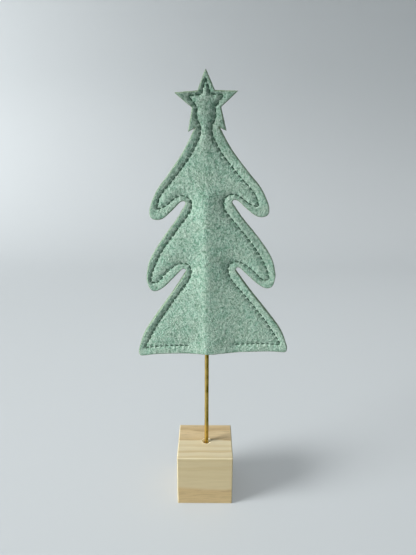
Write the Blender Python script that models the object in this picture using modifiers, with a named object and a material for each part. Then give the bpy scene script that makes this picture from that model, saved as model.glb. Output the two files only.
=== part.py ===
"""A felt christmas tree: two stitched felt layers pocketed on a brass rod that stands in a wooden cube.

Metres, +Z up, the tree's front faces -Y. The origin is the middle of the block's underside.
"""

import math

import bmesh
import bpy
import numpy as np
from mathutils import Matrix, Vector, geometry

# The gap kept between pieces that touch.
GAP = 0.0003

# The wooden block, its eased edges, and the blind hole drilled in its top.
BLOCK_SIZE = 0.040
BLOCK_EASE = 0.0007
HOLE_SIDEWAYS = 0.0010
HOLE_SEAT_DEPTH = 0.018
COUNTERSINK_WIDTH = 0.0014
COUNTERSINK_DEPTH = 0.0012
DRILL_TIP_SHARE = 0.6
CUT_OVERRUN = 0.002

# The brass rod.
ROD_DIAMETER = 0.003
ROD_LENGTH = 0.200
ROD_CHAMFER = 0.0003

# The felt tree: its template, how it sits on the rod, and the felt itself.
TREE_WIDTH = 0.1030
TREE_HEIGHT = 0.1838
TREE_LEAN = math.radians(1.75)
HEM_SIDEWAYS = 0.0043
POCKET_DEPTH = 0.1079
POCKET_RUN = 0.0040
POCKET_CLOSE = 0.013
FELT_THICKNESS = 0.0020
FELT_LIFT = 0.0005
FELT_LIFT_RUN = 0.0045
GROOVE_RUN = 0.0028
GROOVE_FELT_SHARE = 0.5

# The seam's thread, and how far the hand-guided seam strays from the outline's middle, to the left.
SEAM_BOW = 0.0011
THREAD_DIAMETER = 0.0005
STITCH_PITCH = 0.0035
STITCH_ARCH = 0.0002

# How finely the felt is divided.
OUTLINE_STEP = 0.0065
OUTLINE_TURN = math.radians(30)
STITCH_FINE_SHARE = 0.2
FELT_STEP = 0.0088
SEAM_TOLERANCE = 0.00025

ROUND_STEPS = 32

# The right half of the cut outline, from the star's tip down to the middle of the hem. Each stretch
# runs from corner to corner as a smooth curve. A point is a share of half the tree's width and a
# share of its height above the hem.
OUTLINE_SHARES = (
    # the star: upper edge, arm, waist, leg, and the leg's root on the first tier
    ((0.000, 1.000), (0.097, 0.936)),
    ((0.097, 0.936), (0.356, 0.932)),
    ((0.356, 0.932), (0.164, 0.886)),
    ((0.164, 0.886), (0.222, 0.812)),
    ((0.222, 0.812), (0.140, 0.824)),
    # the first tier: slope, drooping tip, underside and notch
    (
        (0.140, 0.824), (0.289, 0.748), (0.487, 0.672), (0.633, 0.620), (0.724, 0.565),
        (0.736, 0.543), (0.719, 0.527), (0.654, 0.520), (0.575, 0.525), (0.464, 0.550),
        (0.361, 0.578), (0.318, 0.583), (0.289, 0.580), (0.285, 0.571),
    ),
    # the second tier
    (
        (0.285, 0.571), (0.406, 0.519), (0.617, 0.442), (0.777, 0.369), (0.825, 0.313),
        (0.821, 0.293), (0.785, 0.265), (0.718, 0.258), (0.612, 0.273), (0.447, 0.317),
        (0.383, 0.335), (0.346, 0.341), (0.322, 0.336), (0.317, 0.328),
    ),
    # the third tier, its rounded corner and the hem
    (
        (0.317, 0.328), (0.492, 0.255), (0.770, 0.148), (0.915, 0.086), (0.986, 0.033),
        (1.000, 0.013), (0.990, 0.002), (0.967, -0.002), (0.774, 0.003), (0.387, 0.003),
        (0.000, 0.000),
    ),
)

# The right half of the seam, from under the star's tip to its end in the hem, given in the same way.
SEAM_SHARES = (
    ((0.000, 0.973), (0.050, 0.926)),
    ((0.050, 0.926), (0.200, 0.922)),
    ((0.200, 0.922), (0.102, 0.886)),
    ((0.102, 0.886), (0.112, 0.855), (0.070, 0.832)),
    (
        (0.070, 0.832), (0.068, 0.803), (0.116, 0.773), (0.191, 0.735), (0.393, 0.662),
        (0.580, 0.600), (0.627, 0.557),
    ),
    ((0.627, 0.557), (0.522, 0.565), (0.379, 0.597), (0.290, 0.602), (0.213, 0.590),
     (0.193, 0.568), (0.217, 0.546), (0.387, 0.483), (0.600, 0.403), (0.741, 0.324),
     (0.762, 0.291)),
    ((0.762, 0.291), (0.677, 0.289), (0.605, 0.312), (0.489, 0.342), (0.371, 0.361),
     (0.259, 0.354), (0.236, 0.328), (0.271, 0.296), (0.464, 0.225), (0.716, 0.127),
     (0.890, 0.043), (0.915, 0.030)),
    ((0.915, 0.030), (0.600, 0.035), (0.310, 0.034)),
)


def smoothstep(share):
    """Rise from 0 to 1 with level ends, for shares from 0 to 1."""
    share = np.clip(share, 0, 1)
    return share * share * (3 - 2 * share)


def spaced(points, step):
    """Points along a line of straight runs, about one step apart and at both its ends."""
    lengths = np.linalg.norm(np.diff(points, axis=0), axis=1)
    along = np.concatenate([[0], np.cumsum(lengths)])
    count = max(1, round(along[-1] / step))
    places = np.linspace(0, along[-1], count + 1)
    return np.column_stack([np.interp(places, along, points[:, axis]) for axis in (0, 1)])


def smooth_curve(shares, step, turn):
    """A Bezier curve through a stretch of the half template, each handle a third of its run.

    Each run between two points is cut into pieces no longer than the step, which bend no more
    than the turn.
    """
    points = np.array(shares) * (TREE_WIDTH / 2, TREE_HEIGHT)
    ends = np.vstack([points[:1], points, points[-1:]])
    tangents = ends[2:] - ends[:-2]
    tangents /= np.linalg.norm(tangents, axis=1)[:, None]
    line = [points[:1]]
    for index, (start, stop) in enumerate(zip(points[:-1], points[1:])):
        length = np.linalg.norm(stop - start)
        leave, arrive = tangents[index], tangents[index + 1]
        bend = math.acos(min(1, leave @ arrive))
        pieces = math.ceil(max(length / step, bend / turn, 1))
        run = geometry.interpolate_bezier(
            Vector(start), Vector(start + leave * length / 3),
            Vector(stop - arrive * length / 3), Vector(stop), pieces + 1,
        )
        line.append(np.array(run)[1:, :2])
    return np.vstack(line)


def on_tree(points):
    """Places on the leaning template, from the hem's height on the rod's axis: X and Z."""
    cos, sin = math.cos(TREE_LEAN), math.sin(TREE_LEAN)
    across, up = points[:, 0], points[:, 1]
    return np.column_stack([HEM_SIDEWAYS + across * cos - up * sin, across * sin + up * cos])


def both_halves(half):
    """Mirror a half line that starts on the centre line, from the left end round to the right."""
    left = half[::-1] * np.array([-1, 1])
    return np.vstack([left[:-1], half])


def cut_outline():
    """The closed cut edge of a felt layer, X and Z, with no point twice."""
    runs = [smooth_curve(shares, OUTLINE_STEP, OUTLINE_TURN) for shares in OUTLINE_SHARES]
    half = np.vstack([runs[0][:1]] + [run[1:] for run in runs])
    return on_tree(both_halves(half)[:-1])


def stitch_holes():
    """Where the needle went through, from the hem's left end round to its right, X and Z.

    The needle is down at each corner, so every stretch has a whole number of stitches.
    """
    fine = STITCH_PITCH * STITCH_FINE_SHARE
    runs = [spaced(smooth_curve(shares, fine, OUTLINE_TURN), STITCH_PITCH) for shares in SEAM_SHARES]
    half = np.vstack([runs[0][:1]] + [run[1:] for run in runs])
    holes = both_halves(half)
    holes[:, 0] -= SEAM_BOW * np.sin(math.pi * holes[:, 1] / TREE_HEIGHT)
    return on_tree(holes)


def seam_distance(points, seam):
    """How far each point lies from the seam's line of straight runs."""
    starts, runs = seam[:-1], np.diff(seam, axis=0)
    offsets = points[:, None, :] - starts[None, :, :]
    share = np.einsum("ijk,jk->ij", offsets, runs) / np.einsum("jk,jk->j", runs, runs)
    share = np.clip(share, 0, 1)[:, :, None]
    return np.linalg.norm(offsets - share * runs[None, :, :], axis=2).min(axis=1)


def inside(points, outline):
    """Which points lie inside the closed outline, by counting the edges to their right."""
    after = np.roll(outline, -1, axis=0)
    x, z = points[:, 0][:, None], points[:, 1][:, None]
    crosses = (outline[:, 1] > z) != (after[:, 1] > z)
    rise = np.where(after[:, 1] == outline[:, 1], 1, after[:, 1] - outline[:, 1])
    at = outline[:, 0] + (z - outline[:, 1]) * (after[:, 0] - outline[:, 0]) / rise
    return (crosses & (x < at)).sum(axis=1) % 2 == 1


def pocket_section():
    """The pocket's half cross-section: its round crest's radius, where that ends, and its foot.

    The felt lies on a circle round the rod, then runs straight down to the other layer's side.
    """
    crest = ROD_DIAMETER / 2 + GAP
    foot = np.array([crest + POCKET_RUN, GAP / 2 + FELT_LIFT])
    reach = np.linalg.norm(foot)
    turn = math.atan2(foot[1], foot[0]) + math.acos(crest / reach)
    return crest, np.array([crest * math.cos(turn), crest * math.sin(turn)]), foot


def pocket_height(points):
    """How much further the rod holds the felt's inner face from the middle than its flat parts."""
    crest, leave, foot = pocket_section()
    away = np.abs(points[:, 0])
    arc = np.sqrt(np.maximum(crest * crest - away * away, 0))
    slope = np.interp(away, [leave[0], foot[0]], [leave[1], foot[1]])
    height = np.where(away < leave[0], arc, slope) - foot[1]
    above = points[:, 1] - (POCKET_DEPTH + GAP)
    return height * (1 - smoothstep(above / POCKET_CLOSE))


def inner_height(points, seam):
    """The inner face's distance from the plane where the two layers meet."""
    lift = FELT_LIFT * smoothstep(seam_distance(points, seam) / FELT_LIFT_RUN)
    return GAP / 2 + lift + pocket_height(points)


def felt_share(points, seam):
    """The share of the felt's thickness left by the stitches, 1 away from the seam."""
    full = smoothstep(seam_distance(points, seam) / GROOVE_RUN)
    return GROOVE_FELT_SHARE + (1 - GROOVE_FELT_SHARE) * full


def thinned(seam):
    """The seam without every second hole, where the line hardly leaves its straight run."""
    keep = np.ones(len(seam), bool)
    for index in range(1, len(seam) - 1, 2):
        pair = seam[[index - 1, index + 1]]
        keep[index] = seam_distance(seam[index:index + 1], pair)[0] > SEAM_TOLERANCE
    return seam[keep]


def groove_shoulders(seam, outline):
    """Points along both sides of the seam, where the felt has regained most of its thickness."""
    tangents = np.gradient(seam, axis=0)
    tangents /= np.linalg.norm(tangents, axis=1)[:, None]
    sideways = tangents[:, ::-1] * np.array([-1, 1]) * GROOVE_RUN
    points = np.vstack([seam + sideways, seam - sideways])
    clear = seam_distance(points, seam) > GROOVE_RUN * 0.9
    edge = np.vstack([outline, outline[:1]])
    clear &= inside(points, outline) & (seam_distance(points, edge) > GROOVE_RUN / 3)
    return points[clear]


def pocket_lines():
    """Upright lines along the pocket's feet, the ends of its crest, and its top."""
    _, leave, foot = pocket_section()
    lines = []
    for x in (-foot[0], -leave[0], 0, leave[0], foot[0]):
        ends = np.array([[x, -POCKET_RUN], [x, POCKET_DEPTH + GAP]])
        lines.append(spaced(ends, FELT_STEP))
    return lines


def field_points(outline, edge, seam, lines):
    """A staggered field of points over the open parts of the felt."""
    low, high = outline.min(axis=0), outline.max(axis=0)
    across = np.arange(low[0], high[0], FELT_STEP)
    up = np.arange(low[1], high[1], FELT_STEP * math.sqrt(3) / 2)
    x, z = np.meshgrid(across, up)
    x = x + (np.arange(len(up)) % 2)[:, None] * FELT_STEP / 2
    points = np.column_stack([x.ravel(), z.ravel()])
    clear = inside(points, outline)
    clear &= seam_distance(points, edge) > FELT_STEP / 3
    clear &= seam_distance(points, seam) > GROOVE_RUN + FELT_STEP / 3
    for line in lines:
        clear &= seam_distance(points, line) > FELT_STEP / 3
    return points[clear]


def divided_felt(seam):
    """The felt's outline divided into triangles, with edges along the seam and the pocket."""
    outline = cut_outline()
    edge = np.vstack([outline, outline[:1]])
    runs = [thinned(seam)] + pocket_lines()
    loose = [groove_shoulders(runs[0], outline), field_points(outline, edge, seam, runs[1:])]
    points, edges = list(outline), []
    for run in runs:
        start = len(points)
        points.extend(run)
        edges.extend((start + index, start + index + 1) for index in range(len(run) - 1))
    for extra in loose:
        points.extend(extra)
    face = [list(range(len(outline)))]
    found = geometry.delaunay_2d_cdt([Vector(point) for point in points], edges, face, 1, GAP / 30)
    return np.array([tuple(point) for point in found[0]]), found[2]


def felt_material():
    """Sage green wool felt."""
    return material("sage_felt", (0.24, 0.37, 0.28), roughness=0.95, metallic=0)


def thread_material():
    """Dark green sewing thread."""
    return material("green_thread", (0.05, 0.11, 0.07), roughness=0.6, metallic=0)


def wood_material():
    """Pale planed softwood."""
    return material("pale_softwood", (0.60, 0.48, 0.28), roughness=0.6, metallic=0)


def brass_material():
    """Polished brass."""
    return material("polished_brass", (0.80, 0.58, 0.24), roughness=0.2, metallic=1)


def material(name, colour, roughness, metallic):
    """A Principled material with one plain colour."""
    made = bpy.data.materials.new(name)
    made.use_nodes = True
    shader = made.node_tree.nodes["Principled BSDF"]
    shader.inputs["Base Color"].default_value = (*colour, 1)
    shader.inputs["Roughness"].default_value = roughness
    shader.inputs["Metallic"].default_value = metallic
    return made


def new_object(name, data, collection, parent=None, location=(0, 0, 0)):
    """Link an object of this data, placed under its parent."""
    made = bpy.data.objects.new(name, data)
    collection.objects.link(made)
    made.parent = parent
    made.location = location
    return made


def turned(name, profile, collection, parent=None, location=(0, 0, 0)):
    """A solid turned round Z from a profile that runs down its outer side."""
    mesh = bpy.data.meshes.new(name)
    points = [(radius, 0, height) for radius, height in profile]
    mesh.from_pydata(points, [(index, index + 1) for index in range(len(points) - 1)], [])
    made = new_object(name, mesh, collection, parent, location)
    screw = made.modifiers.new("turn", "SCREW")
    screw.steps = screw.render_steps = ROUND_STEPS
    screw.use_merge_vertices = True
    screw.merge_threshold = GAP / 30
    screw.use_smooth_shade = True
    return made


def hole_cutter(collection):
    """The drilled hole's shape: countersunk mouth, straight wall and the drill's cone."""
    wall = ROD_DIAMETER / 2 + GAP
    floor = BLOCK_SIZE - HOLE_SEAT_DEPTH - GAP
    mouth = wall + COUNTERSINK_WIDTH
    flare = COUNTERSINK_WIDTH / COUNTERSINK_DEPTH * CUT_OVERRUN
    profile = (
        (0, BLOCK_SIZE + CUT_OVERRUN),
        (mouth + flare, BLOCK_SIZE + CUT_OVERRUN),
        (wall, BLOCK_SIZE - COUNTERSINK_DEPTH),
        (wall, floor),
        (0, floor - wall * DRILL_TIP_SHARE),
    )
    cutter = turned("hole_cutter", profile, collection, location=(HOLE_SIDEWAYS, 0, 0))
    cutter.hide_render = True
    cutter.display_type = "WIRE"
    return cutter


def base_block(parts, cutters):
    """The wooden cube with eased edges and the rod's hole."""
    mesh = bpy.data.meshes.new("base_block")
    shape = bmesh.new()
    bmesh.ops.create_cube(shape, size=BLOCK_SIZE, matrix=Matrix.Translation((0, 0, BLOCK_SIZE / 2)))
    shape.to_mesh(mesh)
    shape.free()
    block = new_object("base_block", mesh, parts)
    ease = block.modifiers.new("eased edges", "BEVEL")
    ease.width = BLOCK_EASE
    ease.segments = 3
    drill = block.modifiers.new("rod hole", "BOOLEAN")
    drill.object = hole_cutter(cutters)
    block.data.materials.append(wood_material())
    return block


def brass_rod(parts):
    """The straight rod, its ends lightly chamfered, with its origin on its axis at its foot."""
    radius = ROD_DIAMETER / 2
    profile = (
        (0, ROD_LENGTH),
        (radius - ROD_CHAMFER, ROD_LENGTH),
        (radius, ROD_LENGTH - ROD_CHAMFER),
        (radius, ROD_CHAMFER),
        (radius - ROD_CHAMFER, 0),
        (0, 0),
    )
    rod = turned("brass_rod", profile, parts, location=(HOLE_SIDEWAYS, 0, BLOCK_SIZE - HOLE_SEAT_DEPTH))
    rod.data.materials.append(brass_material())
    return rod


def felt_layer(name, side, divided, seam, felt, parts, parent):
    """One felt layer on its side of the middle plane: -1 is the front, 1 the back.

    The inner face is the drawn one, and Solidify grows the felt outwards from it, thinner
    where the stitches pull it in.
    """
    points, triangles = divided
    heights = inner_height(points, seam)
    shape = bmesh.new()
    corners = [shape.verts.new((x, side * y, z)) for (x, z), y in zip(points, heights)]
    for triangle in triangles:
        shape.faces.new([corners[index] for index in (triangle if side < 0 else triangle[::-1])])
    mesh = bpy.data.meshes.new(name)
    shape.to_mesh(mesh)
    shape.free()
    layer = new_object(name, mesh, parts, parent)
    group = layer.vertex_groups.new(name="felt left by the stitches")
    for index, share in enumerate(felt_share(points, seam)):
        group.add([index], share, "REPLACE")
    thick = layer.modifiers.new("felt thickness", "SOLIDIFY")
    thick.thickness = FELT_THICKNESS
    thick.offset = 1
    thick.vertex_group = group.name
    mesh.materials.append(felt)
    return layer


def seam_thread(name, side, seam, colour, parts, parent):
    """One thread of the lockstitch: it dips at each needle hole and rises over each stitch."""
    radius = THREAD_DIAMETER / 2
    floor = GAP / 2 + FELT_THICKNESS * GROOVE_FELT_SHARE + GAP + radius
    middles = (seam[:-1] + seam[1:]) / 2
    count = len(seam) + len(middles)
    path = np.zeros((count, 4))
    path[:, 1] = side * floor
    path[0::2, [0, 2]], path[1::2, [0, 2]] = seam, middles
    path[1::2, 1] += side * STITCH_ARCH
    curve = bpy.data.curves.new(name, "CURVE")
    curve.dimensions = "3D"
    curve.bevel_depth = radius
    curve.bevel_resolution = 0
    curve.use_fill_caps = True
    line = curve.splines.new("POLY")
    line.points.add(count - 1)
    line.points.foreach_set("co", path.ravel())
    curve.materials.append(colour)
    return new_object(name, curve, parts, parent)


def felt_tree(parts, rod):
    """The sewn tree, hung from an empty on the rod's axis at the height of the hem."""
    slide = new_object("tree_on_rod", None, parts, rod, (0, 0, ROD_LENGTH - POCKET_DEPTH))
    seam = stitch_holes()
    divided = divided_felt(seam)
    felt, colour = felt_material(), thread_material()
    felt_layer("felt_front", -1, divided, seam, felt, parts, slide)
    felt_layer("felt_back", 1, divided, seam, felt, parts, slide)
    seam_thread("needle_thread", -1, seam, colour, parts, slide)
    seam_thread("bobbin_thread", 1, seam, colour, parts, slide)
    return slide


def main():
    """Clear the scene, then build every piece."""
    for item in list(bpy.data.objects):
        bpy.data.objects.remove(item)
    parts = bpy.data.collections.new("felt_christmas_tree")
    cutters = bpy.data.collections.new("cutters")
    for collection in (parts, cutters):
        bpy.context.scene.collection.children.link(collection)
    base_block(parts, cutters)
    felt_tree(parts, brass_rod(parts))


main()
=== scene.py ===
"""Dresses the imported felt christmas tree: two felt layers, their seam, a brass rod and a block.

Everything is in metres in the frame of the CAD: +Z up, the tree's front facing -Y, the origin in
the middle of the block's underside.
"""

import logging
import math
from collections.abc import Callable
from dataclasses import dataclass, field
from enum import Enum
from functools import partial

import bpy
import numpy as np
from mathutils import Matrix, Vector


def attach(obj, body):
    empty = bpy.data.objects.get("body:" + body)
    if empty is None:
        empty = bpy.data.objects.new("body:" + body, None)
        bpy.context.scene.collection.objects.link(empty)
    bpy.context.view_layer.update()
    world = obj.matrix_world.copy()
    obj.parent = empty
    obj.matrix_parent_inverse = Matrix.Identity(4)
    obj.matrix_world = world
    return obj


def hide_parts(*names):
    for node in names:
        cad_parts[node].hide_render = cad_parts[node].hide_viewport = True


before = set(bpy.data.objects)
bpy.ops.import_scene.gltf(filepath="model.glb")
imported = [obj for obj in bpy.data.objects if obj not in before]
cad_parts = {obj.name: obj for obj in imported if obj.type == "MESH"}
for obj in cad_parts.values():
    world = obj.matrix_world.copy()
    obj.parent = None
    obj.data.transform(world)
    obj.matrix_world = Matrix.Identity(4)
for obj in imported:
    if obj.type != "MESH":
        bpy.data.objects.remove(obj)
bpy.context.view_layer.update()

log = logging.getLogger("felt_tree")

MM = 0.001
CHUNK = 1500
TINY = 1e-18
WAVE_SPREAD = (0.7, 1.5)
WAVE_GAIN = 1.6

Stretch = tuple[tuple[float, float], ...]
Point = tuple[float, float, float]
Range = tuple[float, float]
Adder = Callable[..., bpy.types.Node]


class Side(Enum):
    """Which of the two felt layers, by the direction its outer face looks along Y."""

    FRONT = -1
    BACK = 1


# ---------------------------------------------------------------- lines and grids


def bezier_line(points: np.ndarray, per_run: int = 24) -> np.ndarray:
    """A smooth curve through points.

    On each run the place at t is the cubic Bezier (1-t)^3 a + 3 (1-t)^2 t b + 3 (1-t) t^2 c + t^3 d
    with a and d the run's ends, and b and c a third of the run's length away from them, along
    tangents that are parallel to the line between a point's two neighbours.

    Args:
        points: the points, one row each.
        per_run: places worked out on each run.

    Returns:
        The curve's places, one row each, with both ends.
    """
    ends = np.vstack([points[:1], points, points[-1:]])
    tangents = ends[2:] - ends[:-2]
    tangents /= np.linalg.norm(tangents, axis=1)[:, None]
    start, stop = points[:-1], points[1:]
    third = np.linalg.norm(stop - start, axis=1)[:, None] / 3
    near, far = start + tangents[:-1] * third, stop - tangents[1:] * third
    t = np.linspace(0, 1, per_run, endpoint=False)[None, :, None]
    a, b, c, d = (part[:, None, :] for part in (start, near, far, stop))
    line = (1 - t) ** 3 * a + 3 * (1 - t) ** 2 * t * b + 3 * (1 - t) * t**2 * c + t**3 * d
    return np.vstack([line.reshape(-1, 2), points[-1:]])


def resampled(line: np.ndarray, step: float, multiple: int = 1) -> np.ndarray:
    """Evenly spaced places along a line, about one step apart, both ends among them.

    Args:
        line: the line's points.
        step: the wanted spacing.
        multiple: how many parts each step is cut into, along its straight run.

    Returns:
        The places, one row each.
    """
    along = np.concatenate([[0], np.cumsum(np.linalg.norm(np.diff(line, axis=0), axis=1))])
    count = max(1, round(along[-1] / step))
    even = np.linspace(0, along[-1], count + 1)
    places = np.column_stack([np.interp(even, along, line[:, axis]) for axis in (0, 1)])
    shares, whole = np.arange(count * multiple + 1) / multiple, np.arange(count + 1)
    return np.column_stack([np.interp(shares, whole, places[:, axis]) for axis in (0, 1)])


def mirrored(half: np.ndarray) -> np.ndarray:
    """The whole line from its right half: the left end first, the shared middle point once."""
    left = half[::-1] * np.array([-1, 1])
    return np.vstack([left[:-1], half])


def cross(one: np.ndarray, other: np.ndarray) -> np.ndarray:
    """The area between two flat directions: u of one times v of the other, less v times u."""
    return one[..., 0] * other[..., 1] - one[..., 1] * other[..., 0]


def nearest_on(points: np.ndarray, line: np.ndarray) -> tuple[np.ndarray, np.ndarray, np.ndarray]:
    """The nearest place on a line for each point.

    The foot on each straight run is its start plus its direction times the share of the run at
    which the offset is square to it, held between 0 and 1. The nearest of all feet is taken.

    Args:
        points: the points, one row each.
        line: the line's points.

    Returns:
        The distances, the nearest places, and their indices along the line with fractions.
    """
    starts, runs = line[:-1], np.diff(line, axis=0)
    square = np.maximum((runs**2).sum(axis=1), TINY)
    found = []
    for first in range(0, len(points), CHUNK):
        part = points[first : first + CHUNK]
        offset_u = part[:, :1] - starts[:, 0]
        offset_v = part[:, 1:] - starts[:, 1]
        share = np.clip((offset_u * runs[:, 0] + offset_v * runs[:, 1]) / square, 0, 1)
        gap = (offset_u - share * runs[:, 0]) ** 2 + (offset_v - share * runs[:, 1]) ** 2
        best = gap.argmin(axis=1)
        rows = np.arange(len(part))
        at = share[rows, best]
        foot = starts[best] + at[:, None] * runs[best]
        found.append(np.column_stack([np.sqrt(gap[rows, best]), foot, best + at]))
    whole = np.vstack(found)
    return whole[:, 0], whole[:, 1:3], whole[:, 3]


def inside(points: np.ndarray, loop: np.ndarray) -> np.ndarray:
    """Which points lie inside a closed loop: an odd number of its edges is to their right."""
    after = np.roll(loop, -1, axis=0)
    rise = np.where(after[:, 1] == loop[:, 1], 1, after[:, 1] - loop[:, 1])
    slant = (after[:, 0] - loop[:, 0]) / rise
    found = []
    for first in range(0, len(points), CHUNK):
        u, v = points[first : first + CHUNK, :1], points[first : first + CHUNK, 1:]
        crosses = (loop[:, 1] > v) != (after[:, 1] > v)
        found.append((crosses & (u < loop[:, 0] + (v - loop[:, 1]) * slant)).sum(axis=1) % 2 == 1)
    return np.concatenate(found)


def smooth(share: np.ndarray) -> np.ndarray:
    """Rises from 0 to 1 with level ends: 3 t^2 - 2 t^3, with t held between 0 and 1."""
    t = np.clip(share, 0, 1)
    return t * t * (3 - 2 * t)


def lumps(points: np.ndarray, size: float, seed: int) -> np.ndarray:
    """Smooth random lumps from -1 to 1.

    Random heights stand at the corners of a square lattice, and a place between them takes their
    mean, weighted by the smooth step of its share of the way along each axis.

    Args:
        points: where the lumps are wanted, one row each.
        size: the lattice's spacing.
        seed: the seed of the random heights.

    Returns:
        One height for each point.
    """
    cell = (points - points.min(axis=0)) / size
    corner = np.floor(cell).astype(int)
    u, v = smooth(cell - corner).T
    lattice = np.random.default_rng(seed).uniform(-1, 1, corner.max(axis=0) + 2)
    i, j = corner.T
    low = lattice[i, j] * (1 - u) + lattice[i + 1, j] * u
    high = lattice[i, j + 1] * (1 - u) + lattice[i + 1, j + 1] * u
    return low * (1 - v) + high * v


def waves(points: np.ndarray, length: float, seed: int, count: int = 9) -> np.ndarray:
    """A sum of sine waves of random direction and phase, about length long, from -1 to 1."""
    random = np.random.default_rng(seed)
    turn, phase = random.uniform(0, 2 * math.pi, (2, count))
    pace = 2 * math.pi / (length * random.uniform(*WAVE_SPREAD, count))
    heading = np.column_stack([np.cos(turn), np.sin(turn)]) * pace[:, None]
    return np.sin(points @ heading.T + phase).mean(axis=1) * WAVE_GAIN


def cells(index: np.ndarray) -> np.ndarray:
    """The corners of a grid's cells, four to a row, in turn round each cell."""
    corners = [index[:-1, :-1], index[:-1, 1:], index[1:, 1:], index[1:, :-1]]
    return np.stack(corners, axis=-1).reshape(-1, 4)


def sides(triangles: np.ndarray, count: int) -> tuple[np.ndarray, np.ndarray]:
    """The directed sides of triangles, and which of them are on the rim.

    A side is on the rim where no other triangle has it the other way round.

    Args:
        triangles: point indices, three to a row.
        count: how many points there are.

    Returns:
        Two indices a row, all the first sides before the second ones, and a mask of the rows.
    """
    ends = np.vstack([triangles[:, pair] for pair in ([0, 1], [1, 2], [2, 0])])
    code, back = ends[:, 0] * count + ends[:, 1], ends[:, 1] * count + ends[:, 0]
    return ends, ~np.isin(code, back)


def mesh_object(name: str, points: np.ndarray, faces: list[np.ndarray]) -> bpy.types.Object:
    """Puts arrays of points and faces into a smooth shaded mesh object at the origin.

    Args:
        name: the object's name.
        points: X, Y and Z, one row each.
        faces: arrays of point indices, one row a face, of three or four columns.

    Returns:
        The linked object.
    """
    mesh = bpy.data.meshes.new(name)
    sizes = np.concatenate([np.full(len(part), part.shape[1]) for part in faces])
    corners = np.concatenate([part.ravel() for part in faces])
    mesh.vertices.add(len(points))
    mesh.vertices.foreach_set("co", points.astype(np.float32).ravel())
    mesh.loops.add(len(corners))
    mesh.loops.foreach_set("vertex_index", corners.astype(np.int32))
    mesh.polygons.add(len(sizes))
    mesh.polygons.foreach_set("loop_start", (np.cumsum(sizes) - sizes).astype(np.int32))
    mesh.update(calc_edges=True)
    mesh.validate()
    mesh.shade_smooth()
    made = bpy.data.objects.new(name, mesh)
    bpy.context.scene.collection.objects.link(made)
    return made


# ---------------------------------------------------------------- materials


def linear(code: str) -> tuple[float, float, float, float]:
    """Turns an sRGB hex colour such as #91AC9A into linear red, green, blue and alpha."""
    parts = [int(code[index : index + 2], 16) / 255 for index in (1, 3, 5)]
    red, green, blue = (p / 12.92 if p <= 0.04045 else ((p + 0.055) / 1.055) ** 2.4 for p in parts)
    return red, green, blue, 1.0


def fill(node: bpy.types.Node, sockets: dict | list | tuple) -> None:
    """Sets or links a node's inputs.

    Args:
        node: the node.
        sockets: what goes into each input, by name or index, or in a list from the first one on:
            a value, a hex colour, an output, or a node, which stands for its first output in use.
    """
    for socket, value in sockets.items() if isinstance(sockets, dict) else enumerate(sockets):
        if isinstance(value, bpy.types.Node):
            value = next(output for output in value.outputs if output.enabled)
        if isinstance(value, bpy.types.NodeSocket):
            node.id_data.links.new(value, node.inputs[socket])
        else:
            node.inputs[socket].default_value = linear(value) if isinstance(value, str) else value


def add_node(
    tree: bpy.types.NodeTree, kind: str, sockets: dict | list | tuple = (), **settings: object
) -> bpy.types.Node:
    """Adds one node with its settings, values and links.

    Args:
        tree: the material's node tree.
        kind: the node's type name without ShaderNode.
        sockets: what goes into its inputs, as fill takes it.
        settings: the node's own properties.

    Returns:
        The node.
    """
    node = tree.nodes.new(f"ShaderNode{kind}")
    for name, value in settings.items():
        setattr(node, name, value)
    fill(node, sockets)
    return node


def new_material(
    name: str,
) -> tuple[bpy.types.Material, bpy.types.Node, Adder, bpy.types.NodeSocket]:
    """A material, its Principled shader, what adds a node to it, and its Object coordinates."""
    made = bpy.data.materials.new(name)
    made.use_nodes = True
    add = partial(add_node, made.node_tree)
    return made, made.node_tree.nodes["Principled BSDF"], add, add("TexCoord").outputs["Object"]


def seen_itself(add: Adder) -> bpy.types.Node:
    """1 where the camera or the metal sees a surface, and 0 where the surface lights another."""
    path = add("LightPath")
    rays = [path.outputs["Is Camera Ray"], path.outputs["Is Glossy Ray"]]
    return add("Math", rays, operation="MAXIMUM")


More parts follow.
